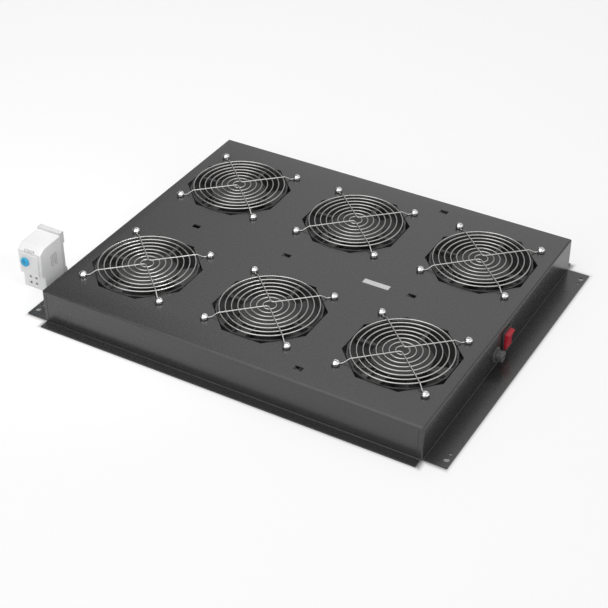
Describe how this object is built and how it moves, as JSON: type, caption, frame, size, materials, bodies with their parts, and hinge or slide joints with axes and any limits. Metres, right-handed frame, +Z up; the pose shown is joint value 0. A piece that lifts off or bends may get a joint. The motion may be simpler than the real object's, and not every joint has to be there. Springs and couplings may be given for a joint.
{
  "type": "rack fan tray",
  "caption": "Flat steel tray for a server rack with fans under wire guards, a lit rocker switch, a fuse holder and a separate rail thermostat.",
  "frame": {"origin": "centre of the flange bolt pattern, level with the underside of the flanges", "axes": "+X along the long side towards the switch, +Y to the back, +Z up through the fans"},
  "size_m": [0.5745, 0.418, 0.063],
  "materials": {
    "powder_black": "fine textured black powder coat",
    "cast_black": "black painted casting",
    "impeller_black": "moulded black plastic",
    "rotor_steel": "drawn steel",
    "lamination_steel": "laminated iron with varnish",
    "guard_wire": "bright nickel-plated wire",
    "screw_zinc": "bright zinc plate",
    "bearing_bronze": "sintered bronze",
    "label_grey": "bare film label",
    "switch_black": "black moulded plastic",
    "rocker_red": "clear red moulded plastic",
    "terminal_brass": "bright brass",
    "fuse_black": "dark moulded plastic",
    "fuse_glass": "clear glass",
    "fuse_metal": "nickel-plated ends",
    "grommet_rubber": "soft black rubber",
    "case_white": "light grey moulded plastic",
    "foot_grey": "mid grey moulded plastic",
    "dial_blue": "blue moulded plastic"
  },
  "bodies": {
    "tray": {"tray_panel": "powder_black", "label_plate": "label_grey", "fan_frame_1": "cast_black", "fan_stator_1": "lamination_steel", "finger_guard_1": "guard_wire", "fan_frame_2": "cast_black", "fan_stator_2": "lamination_steel", "finger_guard_2": "guard_wire", "fan_frame_3": "cast_black", "fan_stator_3": "lamination_steel", "finger_guard_3": "guard_wire", "fan_frame_4": "cast_black", "fan_stator_4": "lamination_steel", "finger_guard_4": "guard_wire", "fan_frame_5": "cast_black", "fan_stator_5": "lamination_steel", "finger_guard_5": "guard_wire", "fan_frame_6": "cast_black", "fan_stator_6": "lamination_steel", "finger_guard_6": "guard_wire", "shaft_bearings": "bearing_bronze", "guard_screws": "screw_zinc", "guard_nuts": "screw_zinc", "switch_housing": "switch_black", "switch_terminals": "terminal_brass", "fuse_holder_body": "fuse_black", "fuse_holder_nut": "fuse_black", "fuse_terminals": "terminal_brass", "cable_grommet": "grommet_rubber", "earth_stud": "terminal_brass", "earth_nut": "terminal_brass", "thermostat_housing": "case_white", "thermostat_cover": "case_white", "thermostat_back_plate": "foot_grey", "thermostat_terminal_block": "case_white", "thermostat_clamps": "terminal_brass", "thermostat_clamp_screws": "screw_zinc", "thermostat_switch": "fuse_black", "thermostat_bimetal": "terminal_brass"},
    "rotor_1": {"rotor_can_1": "rotor_steel", "impeller_1": "impeller_black"},
    "rotor_2": {"rotor_can_2": "rotor_steel", "impeller_2": "impeller_black"},
    "rotor_3": {"rotor_can_3": "rotor_steel", "impeller_3": "impeller_black"},
    "rotor_4": {"rotor_can_4": "rotor_steel", "impeller_4": "impeller_black"},
    "rotor_5": {"rotor_can_5": "rotor_steel", "impeller_5": "impeller_black"},
    "rotor_6": {"rotor_can_6": "rotor_steel", "impeller_6": "impeller_black"},
    "rocker": {"switch_rocker": "rocker_red"},
    "carrier": {"fuse_carrier": "fuse_black", "fuse_glass": "fuse_glass", "fuse_end_caps": "fuse_metal"},
    "cap": {"fuse_cap": "fuse_black"},
    "dial": {"thermostat_dial": "dial_blue"}
  },
  "joints": [
    {"name": "fan_spin_1", "type": "hinge", "parent": "tray", "child": "rotor_1", "pos_m": [-0.1641, -0.0988, 0.02], "axis": [0, 0, 1], "continuous": true},
    {"name": "fan_spin_2", "type": "hinge", "parent": "tray", "child": "rotor_2", "pos_m": [0.0009, -0.0988, 0.02], "axis": [0, 0, 1], "continuous": true},
    {"name": "fan_spin_3", "type": "hinge", "parent": "tray", "child": "rotor_3", "pos_m": [0.1659, -0.0988, 0.02], "axis": [0, 0, 1], "continuous": true},
    {"name": "fan_spin_4", "type": "hinge", "parent": "tray", "child": "rotor_4", "pos_m": [-0.1641, 0.1012, 0.02], "axis": [0, 0, 1], "continuous": true},
    {"name": "fan_spin_5", "type": "hinge", "parent": "tray", "child": "rotor_5", "pos_m": [0.0009, 0.1012, 0.02], "axis": [0, 0, 1], "continuous": true},
    {"name": "fan_spin_6", "type": "hinge", "parent": "tray", "child": "rotor_6", "pos_m": [0.1659, 0.1012, 0.02], "axis": [0, 0, 1], "continuous": true},
    {"name": "rocker_tilt", "type": "hinge", "parent": "tray", "child": "rocker", "pos_m": [0.2393, 0.007, 0.0235], "axis": [0, -1, 0], "range_deg": [0, 16]},
    {"name": "carrier_slide", "type": "slide", "parent": "tray", "child": "carrier", "axis": [1, 0, 0], "range_m": [0, 0.035]},
    {"name": "cap_turn", "type": "hinge", "parent": "carrier", "child": "cap", "pos_m": [0.2425, -0.019, 0.0175], "axis": [1, 0, 0], "range_deg": [0, 60]},
    {"name": "dial_turn", "type": "hinge", "parent": "tray", "child": "dial", "pos_m": [-0.2965, -0.1574, 0.0395], "axis": [0, -1, 0], "range_deg": [-150, 150]}
  ]
}
